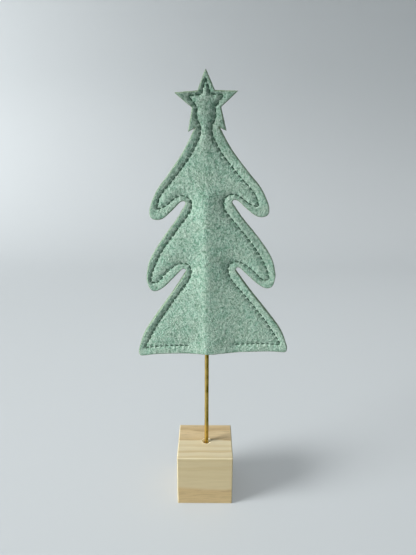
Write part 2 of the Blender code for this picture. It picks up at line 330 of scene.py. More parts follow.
@dataclass(frozen=True)
class WoolFelt:
    """Needled wool felt, dyed in the fibre: matt, mottled, with a nap of curled fibres."""

    name: str = "needled wool felt"
    teal: str = "#85B49B"
    grey: str = "#9DB8A2"
    deep: str = "#4A735E"
    pale: str = "#C0D5C7"
    # The cut edge's colour stands for the fibres seen end on and for painted shade on the rim.
    cut: str = "#75886A"
    cut_mark: str = "cut"
    cut_and_shade_share: float = 0.75
    # The heights over which the felt is painted darker towards the star, as painted shade, and how
    # dark it gets.
    top_shade_heights: Range = (240 * MM, 268 * MM)
    top_shade_tone: float = 0.78
    blend: float = 6.5 * MM
    blend_range: Range = (0.36, 0.64)
    mottle: float = 2.1 * MM
    mottle_range: Range = (0.34, 0.66)
    curl: float = 1.9 * MM
    under_curl: float = 0.7
    curl_offsets: Range = (0.31, 0.73)
    curl_width: float = 0.06
    grit: float = 1.0 * MM
    pit_range: Range = (0.3, 0.46)
    # How much darker the pits are painted: painted shade in the hollows.
    pit_shade: float = 0.65
    end_range: Range = (0.54, 0.7)
    ends: float = 0.55
    fibres: float = 0.4
    nap: float = 0.30 * MM
    nap_strength: float = 0.7
    grit_rise: float = 1.6
    fibre_rise: float = 0.3
    sheen: str = "#DCE8DF"

    def curls(
        self, add: Adder, place: bpy.types.NodeSocket, offset: float, size: float
    ) -> bpy.types.Node:
        """Curled fibres, drawn where a noise crosses its middle value.

        Args:
            add: adds a node to the material.
            place: the coordinates.
            offset: how far the noise is moved, so that no two layers agree.
            size: the noise's scale length.

        Returns:
            1 on a fibre's middle and 0 off it.
        """
        moved = add("Mapping", {"Vector": place, "Location": (offset, offset, -offset)})
        curl = {"Vector": moved, "Scale": 1 / size, "Detail": 1.0, "Distortion": 0.6}
        middle = add("Math", [add("TexNoise", curl), 0.5], operation="SUBTRACT")
        off = add("Math", [middle], operation="ABSOLUTE")
        line = [off, 0.0, self.curl_width, 1.0, 0.0]
        return add("MapRange", line, interpolation_type="SMOOTHSTEP")

    def material(self) -> bpy.types.Material:
        """Builds the material: two dye lots, tufts, fibre ends, curled fibres, and their nap."""
        made, shader, add, place = new_material(self.name)
        # Two dye lots of wool are carded together unevenly, in clouds several millimetres wide.
        clouds = {"Vector": place, "Scale": 1 / self.blend, "Detail": 3.0, "Roughness": 0.6}
        lots = add("MapRange", [add("TexNoise", clouds), *self.blend_range])
        hue = add("Mix", {0: lots, 6: self.teal, 7: self.grey}, data_type="RGBA")
        # Tufts of fibre, about two millimetres wide, stand up or lie down.
        tufts = {"Vector": place, "Scale": 1 / self.mottle, "Detail": 2.0, "Roughness": 0.75}
        noise = add("TexNoise", tufts | {"Distortion": 0.3})
        tuft = add("MapRange", [noise, *self.mottle_range])
        mottled = add("Mix", {0: tuft, 6: self.deep, 7: self.pale}, data_type="RGBA")
        ground = add("Mix", {0: 0.5, 6: hue, 7: mottled}, data_type="RGBA")
        # Fibre ends and the pits between them are finer than 0.1 mm. They are drawn about a
        # millimetre wide, which still shows. The pits are painted darker, as painted shade in the
        # hollows between the fibre ends.
        fine = {"Vector": place, "Scale": 1 / self.grit, "Detail": 1.0, "Roughness": 0.6}
        grit = add("TexNoise", fine)
        pit_shade = [grit, *self.pit_range, self.pit_shade, 0.0]
        ends = [grit, *self.end_range, 0.0, self.ends]
        pit = add("MapRange", pit_shade, interpolation_type="SMOOTHSTEP")
        end = add("MapRange", ends, interpolation_type="SMOOTHSTEP")
        darker = add("Mix", {0: pit, 6: ground, 7: self.deep}, data_type="RGBA")
        specked = add("Mix", {0: end, 6: darker, 7: self.pale}, data_type="RGBA")
        # Wool fibres are about 0.03 mm thick. Bundles of them are drawn 0.3 mm wide, to show.
        over = self.curls(add, place, self.curl_offsets[0], self.curl)
        under = self.curls(add, place, self.curl_offsets[1], self.curl * self.under_curl)
        raised = add("Math", [over, under], operation="MAXIMUM")
        broken = add("Math", [raised, tuft], operation="MULTIPLY")
        fibre = add("Math", [broken, self.fibres], operation="MULTIPLY")
        lighter = add("Mix", {0: fibre, 6: specked, 7: self.pale}, data_type="RGBA")
        # Painted shade: the felt is painted darker towards the star, in place of the light falling
        # off with height.
        height = add("SeparateXYZ", [place]).outputs[2]
        tone = add("MapRange", [height, *self.top_shade_heights, 1.0, self.top_shade_tone])
        top_shaded = add("VectorMath", {0: lighter, 3: tone}, operation="SCALE")
        # The cut edge is painted darker and a little browner: partly the fibres seen end on, and
        # partly painted shade on the rim.
        near_cut = add("Attribute", attribute_name=self.cut_mark).outputs["Fac"]
        edge = add("Math", [near_cut, self.cut_and_shade_share], operation="MULTIPLY")
        whole = add("Mix", {0: edge, 6: top_shaded, 7: self.cut}, data_type="RGBA")
        soft = add("Math", [grit, self.grit_rise, tuft], operation="MULTIPLY_ADD")
        rise = add("Math", [broken, self.fibre_rise, soft], operation="MULTIPLY_ADD")
        nap = {"Height": rise, "Distance": self.nap, "Strength": self.nap_strength}
        fill(shader, {"Base Color": whole, "Normal": add("Bump", nap), "Roughness": 0.95})
        fill(shader, {"Specular IOR Level": 0.2, "Sheen Weight": 0.2, "Sheen Roughness": 0.5})
        fill(shader, {"Sheen Tint": self.sheen})
        return made


@dataclass(frozen=True)
class SpunThread:
    """Three-ply spun polyester sewing thread: slightly lustrous, darker than the felt."""

    name: str = "spun polyester thread"
    dark: str = "#1A412D"
    light: str = "#2F5D43"
    staple: float = 0.3 * MM

    def material(self) -> bpy.types.Material:
        """Builds the material: uneven tone along the plies and a fine bump of staple ends."""
        made, shader, add, place = new_material(self.name)
        # Staple ends are finer than 0.05 mm. They are drawn at 0.3 mm, to show at all.
        staple = {"Vector": place, "Scale": 1 / self.staple, "Detail": 3.0, "Roughness": 0.7}
        grain = add("TexNoise", staple)
        tone = add("Mix", {0: grain, 6: self.dark, 7: self.light}, data_type="RGBA")
        bump = add("Bump", {"Height": grain, "Distance": 0.05 * MM, "Strength": 0.6})
        fill(shader, {"Base Color": tone, "Normal": bump, "Roughness": 0.7, "Sheen Weight": 0.15})
        return made


@dataclass(frozen=True)
class DrawnBrass:
    """Drawn brass rod: bright, with fine lines along it and soft patches of tarnish, and one side
    painted darker as a painted dark reflection.
    """

    name: str = "drawn brass"
    bright: str = "#E2C272"
    # The colour of the tarnish patches and of the painted dark reflection along one side.
    tarnish_and_dark_reflection: str = "#605406"
    axis_x: float = 1.0 * MM
    radius: float = 1.5 * MM
    # Across the rod, where one side's painted dark reflection starts and is full, and how dark it
    # is high up and low down.
    dark_reflection_share: Range = (-0.55, 0.2)
    dark_reflection_high: float = 0.85
    dark_reflection_heights: Range = (74 * MM, 92 * MM)
    dark_reflection_low: float = 0.66
    line: float = 0.12 * MM
    line_length: float = 22 * MM
    line_range: Range = (0.3, 0.7)
    polish: Range = (0.12, 0.22)
    patch: float = 7 * MM
    patch_range: Range = (0.35, 0.7)
    patch_tarnish: Range = (-0.15, 0.35)

    def material(self) -> bpy.types.Material:
        """Builds the material: lines from the drawing die, soft patches of tarnish, and a painted
        dark reflection along one side.
        """
        made, shader, add, place = new_material(self.name)
        pace = (1 / self.line, 1 / self.line, 1 / self.line_length)
        stretch = add("Mapping", {"Vector": place, "Scale": pace})
        lines = add("TexNoise", {"Vector": stretch, "Scale": 1.0, "Detail": 2.0})
        patch = {"Vector": place, "Scale": 1 / self.patch, "Detail": 4.0, "Roughness": 0.6}
        age = add("MapRange", [add("TexNoise", patch), *self.patch_range, *self.patch_tarnish])
        x, _, z = add("SeparateXYZ", [place]).outputs
        # Painted reflection: the side towards +X is painted darker in place of the dark
        # surroundings that it reflects, and less dark on the lower end, where it reflects the lit
        # block.
        most = add("MapRange", [z, *self.dark_reflection_heights, self.dark_reflection_low, self.dark_reflection_high])
        unmarked, darkest_x = (self.axis_x + share * self.radius for share in self.dark_reflection_share)
        side = add("MapRange", [x, unmarked, darkest_x, 0.0, most], interpolation_type="SMOOTHSTEP")
        tarnish_and_reflection = add("Math", [side, age], operation="ADD", use_clamp=True)
        tone = add("Mix", {0: tarnish_and_reflection, 6: self.bright, 7: self.tarnish_and_dark_reflection}, data_type="RGBA")
        rough = add("MapRange", [lines, *self.line_range, *self.polish])
        bump = add("Bump", {"Height": lines, "Distance": 0.01 * MM, "Strength": 0.5})
        fill(shader, {"Base Color": tone, "Roughness": rough, "Normal": bump, "Metallic": 1.0})
        return made


@dataclass(frozen=True)
class PlanedPine:
    """Planed, unfinished pine, its pith outside the block: matt, ringed, darker at its heart."""

    name: str = "planed pine"
    sapwood: str = "#D3C7A5"
    heartwood: str = "#D0BB92"
    late_sapwood: str = "#B9A274"
    late_heartwood: str = "#AF9366"
    # The eased edges' colour: sanded wood and a painted highlight.
    sanded_and_highlight: str = "#D2C7A4"
    # The countersink's colour: fresh-cut wood, made paler still as painted light against the shade
    # in the hole.
    drilled_and_lightened: str = "#FBEEC8"
    # How much darker the sides are painted than the top: painted shade.
    side_shade: Point = (0.86, 0.83, 0.75)
    end_tint: Point = (0.74, 0.72, 0.67)
    half: float = 20 * MM
    top_depths: Range = (1.0 * MM, 0.4 * MM)
    side_rings: float = 0.35
    eased: float = 0.9 * MM
    eased_share: float = 0.8
    end_skin: Range = (0.5 * MM, 0.1 * MM)
    pith: Point = (0.0, 30 * MM, -5 * MM)
    heart: Range = (53.0 * MM, 54.0 * MM)
    ring: float = 4.6 * MM
    ring_start: float = 2.0 * MM
    waver_pace: Point = (28, 110, 110)
    waver: float = 2.2 * MM
    vigour: Range = (0.3, 0.8)
    late_wood: Stretch = ((0.0, 0.55), (0.18, 0.05), (0.5, 0.1), (0.85, 0.8), (1.0, 0.9))
    late_rise: float = 0.6
    streak_pace: Point = (45, 3000, 3000)
    streak_range: Range = (0.35, 0.65)
    streak_tone: Range = (0.93, 1.05)
    stroke_pace: Point = (90, 1300, 1300)
    stroke_range: Range = (0.5, 0.68)
    resin: float = 0.2
    hole_axis: Point = (1.0 * MM, 0.0, 0.0)
    hole_mouth: Range = (3.25 * MM, 3.65 * MM)

    def rings(self, add: Adder, place: bpy.types.NodeSocket) -> tuple[bpy.types.Node, ...]:
        """The year rings round the pith, which runs along X.

        Args:
            add: adds a node to the material.
            place: the coordinates.

        Returns:
            The share of late wood, each year's vigour, and 0 in heartwood or 1 in sapwood.
        """
        # The rings waver along the grain, by about a millimetre in thirty.
        stretch = add("Mapping", {"Vector": place, "Scale": self.waver_pace})
        noise = add("TexNoise", {"Vector": stretch, "Scale": 1.0, "Detail": 2.0})
        shift = add("MapRange", [noise, 0.0, 1.0, -self.waver, self.waver])
        off = add("VectorMath", [place, self.pith], operation="SUBTRACT")
        flat = add("VectorMath", [off, (0, 1, 1)], operation="MULTIPLY")
        away = add("VectorMath", [flat], operation="LENGTH")
        radius = add("Math", [away, shift], operation="ADD")
        started = add("Math", [radius, self.ring_start], operation="ADD")
        turns = add("Math", [started, self.ring], operation="DIVIDE")
        growth = {"W": add("Math", [turns], operation="FLOOR")}
        year = add("TexWhiteNoise", growth, noise_dimensions="1D")
        # Early wood fades slowly into a thin line of late wood, which ends sharply.
        late = add("ValToRGB", [add("Math", [turns], operation="FRACT")])
        ramp = late.color_ramp.elements
        for position, _ in self.late_wood[1:-1]:
            ramp.new(position)
        for stop, (_, tone) in zip(ramp, self.late_wood):
            stop.color = (tone, tone, tone, 1)
        vigour = add("MapRange", [year, 0.0, 1.0, *self.vigour])
        return late, vigour, add("MapRange", [radius, *self.heart])

    def material(self) -> bpy.types.Material:
        """Builds the material: rings, grain, resin, what planing, sanding and drilling left, and
        painted shade on the sides, with painted light on the edges and in the countersink.
        """
        made, shader, add, place = new_material(self.name)
        late, vigour, sap = self.rings(add, place)
        early = add("Mix", {0: sap, 6: self.heartwood, 7: self.sapwood}, data_type="RGBA")
        dark = add("Mix", {0: sap, 6: self.late_heartwood, 7: self.late_sapwood}, data_type="RGBA")
        # Painted shade: the sides are painted darker than the top, which faces the light more.
        # Their rings show faintly.
        height = add("SeparateXYZ", [place]).outputs[2]
        top = add("MapRange", [height, *(2 * self.half - depth for depth in self.top_depths)])
        clear = add("MapRange", [top, 0.0, 1.0, self.side_rings, 1.0])
        strong = add("Math", [vigour, clear], operation="MULTIPLY")
        rings = add("Math", [late, strong], operation="MULTIPLY")
        ringed = add("Mix", {0: rings, 6: early, 7: dark}, data_type="RGBA")
        # Cut tracheids show as streaks about 0.3 mm wide and some centimetres long.
        comb = add("Mapping", {"Vector": place, "Scale": self.streak_pace})
        grain = add("TexNoise", {"Vector": comb, "Scale": 1.0, "Detail": 3.0, "Roughness": 0.6})
        streak = add("MapRange", [grain, *self.streak_range, *self.streak_tone])
        streaked = add("VectorMath", {0: ringed, 3: streak}, operation="SCALE")
        # Resin makes short brown strokes in the heartwood, 10 mm long and 0.7 mm wide.
        drawn = add("Mapping", {"Vector": place, "Scale": self.stroke_pace})
        strokes = add("TexNoise", {"Vector": drawn, "Scale": 1.0, "Detail": 2.0, "Distortion": 0.5})
        stroke = add("MapRange", [strokes, *self.stroke_range, 0.0, self.resin])
        inner = add("Math", [1.0, sap], operation="SUBTRACT")
        resin = add("Math", [stroke, inner], operation="MULTIPLY")
        unmarked = add("Math", [1.0, resin], operation="SUBTRACT")
        stroked = add("VectorMath", {0: streaked, 3: unmarked}, operation="SCALE")
        side_shaded = add("VectorMath", [stroked, self.side_shade], operation="MULTIPLY")
        faced = add("Mix", {0: top, 6: side_shaded, 7: stroked}, data_type="RGBA")
        # The grain runs along X, so the faces at its two ends soak up light and look darker.
        middle = add("VectorMath", [place, (0.0, 0.0, self.half)], operation="SUBTRACT")
        parts = add("SeparateXYZ", [add("VectorMath", [middle], operation="ABSOLUTE")]).outputs
        at_end = add("MapRange", [parts[0], *(self.half - depth for depth in self.end_skin)])
        soaked = add("VectorMath", [faced, self.end_tint], operation="MULTIPLY")
        grained = add("Mix", {0: at_end, 6: faced, 7: soaked}, data_type="RGBA")
        # The eased edges are painted pale: partly the sanded wood, and partly a painted highlight
        # along their rounded faces. A place is on one where two of its three distances from the
        # middle of the block come near half its size.
        pairs = ([parts[0], parts[1]], [parts[1], parts[2]], [parts[2], parts[0]])
        near = [add("Math", pair, operation="MINIMUM") for pair in pairs]
        wider = add("Math", near[:2], operation="MAXIMUM")
        widest = add("Math", [wider, near[2]], operation="MAXIMUM")
        start, full = self.half - self.eased, self.half - 0.5 * self.eased
        edge = add("MapRange", [widest, start, full, 0.0, self.eased_share])
        edged = add("Mix", {0: edge, 6: grained, 7: self.sanded_and_highlight}, data_type="RGBA")
        # The countersink is painted much paler: partly the fresh wood cut below the sanded skin,
        # and partly painted light that lifts the shade in the hole.
        from_axis = add("VectorMath", [place, self.hole_axis], operation="SUBTRACT")
        level = add("VectorMath", [from_axis, (1, 1, 0)], operation="MULTIPLY")
        hole = add("VectorMath", [level], operation="LENGTH")
        sunk = add("MapRange", [hole, *self.hole_mouth, 1.0, 0.0])
        tone = add("Mix", {0: sunk, 6: edged, 7: self.drilled_and_lightened}, data_type="RGBA")
        rise = add("Math", [late, self.late_rise, grain], operation="MULTIPLY_ADD")
        bump = add("Bump", {"Height": rise, "Distance": 0.06 * MM, "Strength": 0.5})
        fill(shader, {"Base Color": tone, "Normal": bump})
        fill(shader, {"Roughness": 0.6, "Specular IOR Level": 0.35})
        return made


@dataclass(frozen=True)
class PaintedSweep:
    """Matt emulsion paint on the studio's floor and wall, lit softly from within to the camera.

    The glow keeps the object's shadow light. It is strongest near the object, where the paint is
    darker to make up for it, and comes back at the floor's far edges.
    """

    name: str = "matt studio paint"
    near_colour: str = "#A6ABAD"
    far_colour: str = "#C6CBCD"
    fade: Range = (0.35, 1.0)
    glow: Range = (0.33, 0.08)
    edge: Range = (1.25, 2.4)
    edge_glow: float = 0.16
    roller_pace: float = 220.0

    def material(self) -> bpy.types.Material:
        """Builds the material: plain, with a trace of roller texture, and the glow."""
        made, shader, add, place = new_material(self.name)
        away = add("VectorMath", [place], operation="LENGTH")
        fade = add("MapRange", [away, *self.fade], interpolation_type="SMOOTHSTEP")
        paint = add("Mix", {0: fade, 6: self.near_colour, 7: self.far_colour}, data_type="RGBA")
        within = add("MapRange", [fade, 0.0, 1.0, *self.glow])
        edge = [away, *self.edge, 0.0, self.edge_glow]
        beyond = add("MapRange", edge, interpolation_type="SMOOTHSTEP")
        both = add("Math", [within, beyond], operation="ADD")
        glow = add("Math", [both, seen_itself(add)], operation="MULTIPLY")
        roller = add("TexNoise", {"Vector": place, "Scale": self.roller_pace, "Detail": 2.0})
        bump = add("Bump", {"Height": roller, "Distance": 0.05 * MM, "Strength": 0.2})
        fill(shader, {"Base Color": paint, "Normal": bump, "Roughness": 0.9})
        fill(shader, {"Emission Color": self.far_colour, "Emission Strength": glow})
        return made


# ---------------------------------------------------------------- the felt tree


@dataclass(frozen=True)
class Template:
    """The paper pattern: the cut outline and the seam, in the tree's own frame.

    U runs to the right and V up from the middle of the hem. A share is a part of half the width,
    or of the height. The first stretches of the outline each start at a sharp corner.
    """

    width: float = 103.0 * MM
    height: float = 183.8 * MM
    lean: float = math.radians(1.75)
    hem: Range = (5.3 * MM, 114.1 * MM)
    seam_bow: float = 1.1 * MM
    nod: float = math.radians(5.0)
    nod_start: float = 216 * MM
    nod_length: float = 50 * MM
    nod_steps: int = 400
    pitch: float = 3.5 * MM
    edge_step: float = 0.55 * MM
    sharp: int = 6
    outline_shares: tuple[Stretch, ...] = (
        ((0.000, 1.000), (0.097, 0.936)),
        ((0.097, 0.936), (0.356, 0.932)),
        ((0.356, 0.932), (0.164, 0.886)),
        ((0.164, 0.886), (0.222, 0.812)),
        ((0.222, 0.812), (0.140, 0.824)),
        (
            (0.140, 0.824), (0.289, 0.748), (0.487, 0.672), (0.633, 0.620), (0.724, 0.565),
            (0.736, 0.543), (0.719, 0.527), (0.654, 0.520), (0.575, 0.525), (0.464, 0.550),
            (0.361, 0.578), (0.318, 0.583), (0.289, 0.580), (0.285, 0.571),
        ),
        (
            (0.285, 0.571), (0.406, 0.519), (0.617, 0.442), (0.777, 0.369), (0.825, 0.313),
            (0.821, 0.293), (0.785, 0.265), (0.718, 0.258), (0.612, 0.273), (0.447, 0.317),
            (0.383, 0.335), (0.346, 0.341), (0.322, 0.336), (0.317, 0.328),
        ),
        (
            (0.317, 0.328), (0.492, 0.255), (0.770, 0.148), (0.915, 0.086), (0.986, 0.033),
            (1.000, 0.013), (0.990, 0.002), (0.967, -0.002), (0.774, 0.003), (0.387, 0.003),
            (0.000, 0.000),
        ),
    )
    seam_shares: tuple[Stretch, ...] = (
        ((0.000, 0.973), (0.050, 0.926)),
        ((0.050, 0.926), (0.200, 0.922)),
        ((0.200, 0.922), (0.102, 0.886)),
        ((0.102, 0.886), (0.112, 0.855), (0.070, 0.832)),
        (
            (0.070, 0.832), (0.068, 0.803), (0.116, 0.773), (0.191, 0.735), (0.393, 0.662),
            (0.580, 0.600), (0.627, 0.557),
        ),
        (
            (0.627, 0.557), (0.522, 0.565), (0.379, 0.597), (0.290, 0.602), (0.213, 0.590),
            (0.193, 0.568), (0.217, 0.546), (0.387, 0.483), (0.600, 0.403), (0.741, 0.324),
            (0.762, 0.291),
        ),
        (
            (0.762, 0.291), (0.677, 0.289), (0.605, 0.312), (0.489, 0.342), (0.371, 0.361),
            (0.259, 0.354), (0.236, 0.328), (0.271, 0.296), (0.464, 0.225), (0.716, 0.127),
            (0.890, 0.043), (0.915, 0.030),
        ),
        ((0.915, 0.030), (0.600, 0.035), (0.310, 0.034)),
    )

    def half(self, stretches: tuple[Stretch, ...], step: float, parts: int = 1) -> np.ndarray:
        """The right half of a line, in even steps.

        Args:
            stretches: its stretches of shares, from the top down.
            step: the spacing of its points.
            parts: how many parts each step is cut into.

        Returns:
            The points, in metres.
        """
        scale = (self.width / 2, self.height)
        runs = [resampled(bezier_line(np.array(part) * scale), step, parts) for part in stretches]
        return np.vstack([runs[0][:1]] + [run[1:] for run in runs])

    def outline(self) -> tuple[np.ndarray, np.ndarray]:
        """The closed cut edge, and its sharp corners.

        Returns:
            The points from the middle of the hem round by the left, and the corners.
        """
        right = [part[0] for part in self.outline_shares[: self.sharp]]
        corners = np.array(right) * (self.width / 2, self.height)
        both = np.vstack([corners, corners[1:] * np.array([-1, 1])])
        return mirrored(self.half(self.outline_shares, self.edge_step))[:-1], both

    def holes(self, parts: int = 1) -> np.ndarray:
        """The needle's holes, or places along the straight stitches between them.

        The whole seam bows to the left by the sine of the share of the height.

        Args:
            parts: how many parts each stitch is cut into.

        Returns:
            The places from the hem's left end round to its right.
        """
        line = mirrored(self.half(self.seam_shares, self.pitch, parts))
        line[:, 0] -= self.seam_bow * np.sin(math.pi * line[:, 1] / self.height)
        return line

    def nodded(self, points: np.ndarray) -> np.ndarray:
        """Bends the sewn tree forward above the rod, where nothing holds it up.

        The slope rises from 0 by the smooth step of the share of the bend's length, and the middle
        plane is carried along by the sums of its sine and its cosine.

        Args:
            points: X, Y and Z of places on the flat sewn tree, Y counted from its middle plane.

        Returns:
            The bent places.
        """
        rise = np.linspace(0, self.height, self.nod_steps)
        slope = self.nod * smooth(rise / self.nod_length)
        step = rise[1]
        forward = np.cumsum(np.sin(slope)) * step
        upward = np.cumsum(np.cos(slope)) * step - step
        over = np.maximum(points[:, 2] - self.nod_start, 0)
        angle = np.interp(over, rise, slope)
        x, y, z = points.T
        bent_y = y * np.cos(angle) - np.interp(over, rise, forward)
        bent_z = z - over + np.interp(over, rise, upward) + y * np.sin(angle)
        return np.column_stack([x, bent_y, bent_z])

    def placed(self, flat: np.ndarray) -> np.ndarray:
        """World X and Z of places on the pattern: turned by the lean about the hem's middle."""
        return flat @ self.turn().T + self.hem

    def turn(self) -> np.ndarray:
        """The matrix that turns U and V by the lean."""
        cos, sin = math.cos(self.lean), math.sin(self.lean)
        return np.array([[cos, -sin], [sin, cos]])


@dataclass
class CutShape:
    """A square grid laid over the pattern and fitted to its outline and its seam.

    A grid point within half a step of the outline or the seam moves onto it. A cell with all its
    points inside gives two triangles, and one with a single point outside gives one.
    """

    template: Template
    step: float = 0.50 * MM
    margin: int = 4
    folded_share: float = 0.12
    sliver_share: float = 0.01
    unfold_rounds: int = 4
    even_rounds: int = 2
    flat: np.ndarray = field(init=False)
    triangles: np.ndarray = field(init=False)
    rim: np.ndarray = field(init=False)
    rim_normals: np.ndarray = field(init=False)
    edge_distance: np.ndarray = field(init=False)
    seam_distance: np.ndarray = field(init=False)
    stitch: np.ndarray = field(init=False)
    inward: np.ndarray = field(init=False)

    def __post_init__(self) -> None:
        """Cuts the grid, then measures each point's distances from the cut edge and the seam."""
        outline, corners = self.template.outline()
        loop = np.vstack([outline, outline[:1]])
        seam = self.template.holes()
        columns = math.ceil(self.template.width / 2 / self.step) + self.margin
        rows = math.ceil(self.template.height / self.step) + self.margin
        u = np.arange(-columns, columns + 1) * self.step
        v = np.arange(-self.margin, rows + 1) * self.step
        grid = np.stack(np.meshgrid(u, v), axis=-1).reshape(-1, 2)
        cell = cells(np.arange(len(grid)).reshape(-1, len(u)))
        distance, foot, _ = nearest_on(grid, loop)
        on_edge = distance <= self.step / 2
        kept = inside(grid, outline) | on_edge
        places = np.where(on_edge[:, None], foot, grid)
        seam_gap, seam_foot, _ = nearest_on(grid, seam)
        on_seam = (seam_gap <= self.step / 2) & ~on_edge
        places[on_seam] = seam_foot[on_seam]
        self.unfold(places, grid, on_seam, on_edge, cell)
        self.pin_corners(places, on_edge, corners)
        triangles = self.cut_cells(places, kept, on_seam, on_edge, cell, outline)
        used, triangles = np.unique(triangles, return_inverse=True)
        self.triangles = triangles.reshape(-1, 3)
        self.flat = self.evened(places[used], (on_edge | on_seam)[used])
        self.find_rim(loop)
        self.edge_distance, _, _ = nearest_on(self.flat, loop)
        self.seam_distance, _, self.stitch = nearest_on(self.flat, seam)
        self.inward = self.inside_seam(seam)

    def unfold(
        self,
        places: np.ndarray,
        grid: np.ndarray,
        on_seam: np.ndarray,
        on_edge: np.ndarray,
        cell: np.ndarray,
    ) -> None:
        """Puts seam points back on the grid where their cells have folded over or lost their area.

        A cell's area at a corner is the cross product of its two sides there.

        Args:
            places: the fitted points, changed in place.
            grid: the grid's own points.
            on_seam: which points were moved onto the seam, changed in place.
            on_edge: which points lie on the outline.
            cell: the corners of the grid's cells.
        """
        cell = cell[on_seam[cell].any(axis=1) & ~on_edge[cell].any(axis=1)]
        for _ in range(self.unfold_rounds):
            corner = places[cell]
            area = cross(np.roll(corner, -1, axis=1) - corner, np.roll(corner, 1, axis=1) - corner)
            lost = np.unique(cell[(area < self.step**2 * self.folded_share).any(axis=1)])
            lost = lost[on_seam[lost]]
            places[lost] = grid[lost]
            on_seam[lost] = False

    def pin_corners(self, places: np.ndarray, on_edge: np.ndarray, corners: np.ndarray) -> None:
        """Moves the edge point nearest to each sharp corner onto it."""
        edge = np.flatnonzero(on_edge)
        gaps = np.linalg.norm(places[edge][:, None, :] - corners[None, :, :], axis=2)
        places[edge[gaps.argmin(axis=0)]] = corners

    def cut_cells(
        self,
        places: np.ndarray,
        kept: np.ndarray,
        on_seam: np.ndarray,
        on_edge: np.ndarray,
        cell: np.ndarray,
        outline: np.ndarray,
    ) -> np.ndarray:
        """Triangles of the cells, anticlockwise, with the diagonal along the seam where it crosses.

        Args:
            places: the grid's fitted points.
            kept: which points are inside or on the outline.
            on_seam: which points lie on the seam.
            on_edge: which points lie on the outline.
            cell: the corners of the grid's cells.
            outline: the cut edge.

        Returns:
            Point indices, three to a row.
        """
        inner = kept[cell]
        whole = cell[inner.all(axis=1)]
        along = on_seam[whole]
        other = along[:, 1] & along[:, 3] & ~(along[:, 0] & along[:, 2])
        three = cell[inner.sum(axis=1) == 3]
        missing = (~kept[three]).argmax(axis=1)
        turn = (missing[:, None] + np.arange(1, 4)) % 4
        halves = [whole[~other][:, part] for part in ([0, 1, 2], [0, 2, 3])]
        halves += [whole[other][:, part] for part in ([1, 2, 3], [1, 3, 0])]
        found = np.vstack([*halves, np.take_along_axis(three, turn, axis=1)])
        a, b, c = (places[found[:, corner]] for corner in range(3))
        good = cross(b - a, c - a) > self.step**2 * self.sliver_share
        doubtful = on_edge[found].all(axis=1) & good
        good[doubtful] &= inside((a + b + c)[doubtful] / 3, outline)
        return self.unpinched(found[good], len(places))

    def unpinched(self, triangles: np.ndarray, count: int) -> np.ndarray:
        """Drops rim triangles at points where the rim touches itself, until it no longer does.

        Args:
            triangles: point indices, three to a row.
            count: how many points there are.

        Returns:
            The triangles that stay.
        """
        while True:
            ends, free = sides(triangles, count)
            touching = np.bincount(ends[free, 0], minlength=count) > 1
            if not touching.any():
                return triangles
            loose = free.reshape(3, -1).sum(axis=0) * touching[triangles].any(axis=1)
            triangles = triangles[loose < min(2, loose.max())]

    def evened(self, places: np.ndarray, fixed: np.ndarray) -> np.ndarray:
        """Moves free points halfway to the mean of their neighbours, a few times.

        Args:
            places: the points of the cut triangles.
            fixed: which of them lie on the outline or the seam and stay.

        Returns:
            The evened points.
        """
        count = len(places)
        ends, _ = sides(self.triangles, count)
        start, stop = np.vstack([ends, ends[:, ::-1]]).T
        near = np.bincount(start, minlength=count)[:, None]
        for _ in range(self.even_rounds):
            total = [np.bincount(start, places[stop, axis], count) for axis in (0, 1)]
            mean = np.column_stack(total) / near
            places = np.where(fixed[:, None], places, (places + mean) / 2)
        return places

    def find_rim(self, loop: np.ndarray) -> None:
        """Finds the directed sides on the rim, and the outward direction at each rim point.

        The outward direction is the outline's, turned a right angle from its tangent.
        """
        ends, free = sides(self.triangles, len(self.flat))
        self.rim = ends[free]
        tangent = np.roll(loop[:-1], -1, axis=0) - np.roll(loop[:-1], 1, axis=0)
        area = cross(loop[:-1], loop[1:]).sum()
        normal = tangent[:, ::-1] * np.array([1, -1]) * np.sign(area)
        normal /= np.linalg.norm(normal, axis=1)[:, None]
        _, _, along = nearest_on(self.flat[self.rim[:, 0]], loop)
        self.rim_normals = np.zeros((len(self.flat), 2))
        self.rim_normals[self.rim[:, 0]] = normal[np.round(along).astype(int) % len(normal)]

    def inside_seam(self, seam: np.ndarray) -> np.ndarray:
        """How far inside the seam each point lies, outside it less than 0.

        Below the seam's two open ends the border of the hem ends at upright lines.
        """
        ends = seam[[0, -1]]
        below = ends - np.array([0, self.template.height])
        gap = np.abs(self.flat[:, :1] - ends[:, 0]).min(axis=1)
        gap = np.where(self.flat[:, 1] < ends[:, 1].mean(), gap, np.inf)
        within = inside(self.flat, np.vstack([seam, below[::-1]]))
        return np.where(within, 1, -1) * np.minimum(self.seam_distance, gap)


@dataclass(frozen=True)
class EdgeCurl:
    """A place where the border's cut edge curls towards the other layer, or away from it."""

    x: float
    z: float
    reach: float
    depth: float

    def drop(self, world: np.ndarray) -> np.ndarray:
        """How far the edge comes down: a bell of the distance from the place."""
        gap = (world[:, 0] - self.x) ** 2 + (world[:, 1] - self.z) ** 2
        return self.depth * np.exp(-gap / self.reach**2)


